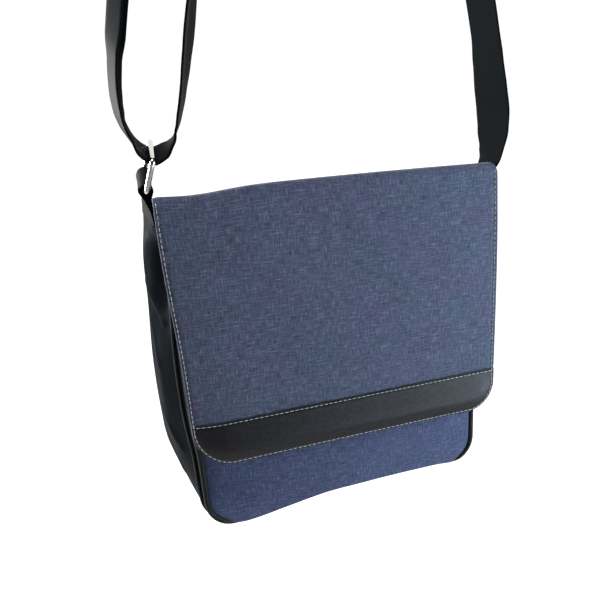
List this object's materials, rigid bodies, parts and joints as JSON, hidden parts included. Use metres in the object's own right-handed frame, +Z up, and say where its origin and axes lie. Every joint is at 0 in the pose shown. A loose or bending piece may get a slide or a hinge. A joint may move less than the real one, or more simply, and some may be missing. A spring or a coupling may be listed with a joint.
{
  "type": "flap satchel",
  "caption": "Flat shoulder bag with a broad front flap edged in leatherette, a bound front pocket under it, black side walls and a webbing shoulder strap that runs through a wire ring.",
  "frame": {"origin": "under side of the shoulder strap's highest point, where a hook carries the bag", "axes": "+X to the bag's right as its flap is seen, +Y from the flap towards the back panel, +Z up"},
  "size_m": [0.3281, 0.0913, 0.7246],
  "materials": {
    "blue_cloth": "two-tone woven canvas, matt",
    "black_coated_cloth": "coated, low sheen",
    "black_leatherette": "fine grain, satin",
    "black_webbing": "plain woven webbing, matt",
    "nickel": "bright nickel plate"
  },
  "bodies": {
    "root": {"pocket_front": "blue_cloth", "pocket_side": "black_coated_cloth", "pocket_binding": "black_leatherette", "front_panel": "blue_cloth", "front_binding": "black_leatherette", "gusset": "black_coated_cloth", "back_panel": "blue_cloth", "flap": "blue_cloth", "flap_band": "black_leatherette", "shoulder_strap": "black_webbing", "ring_tab": "black_webbing", "ring": "nickel", "strap_keeper": "nickel"}
  },
  "joints": []
}
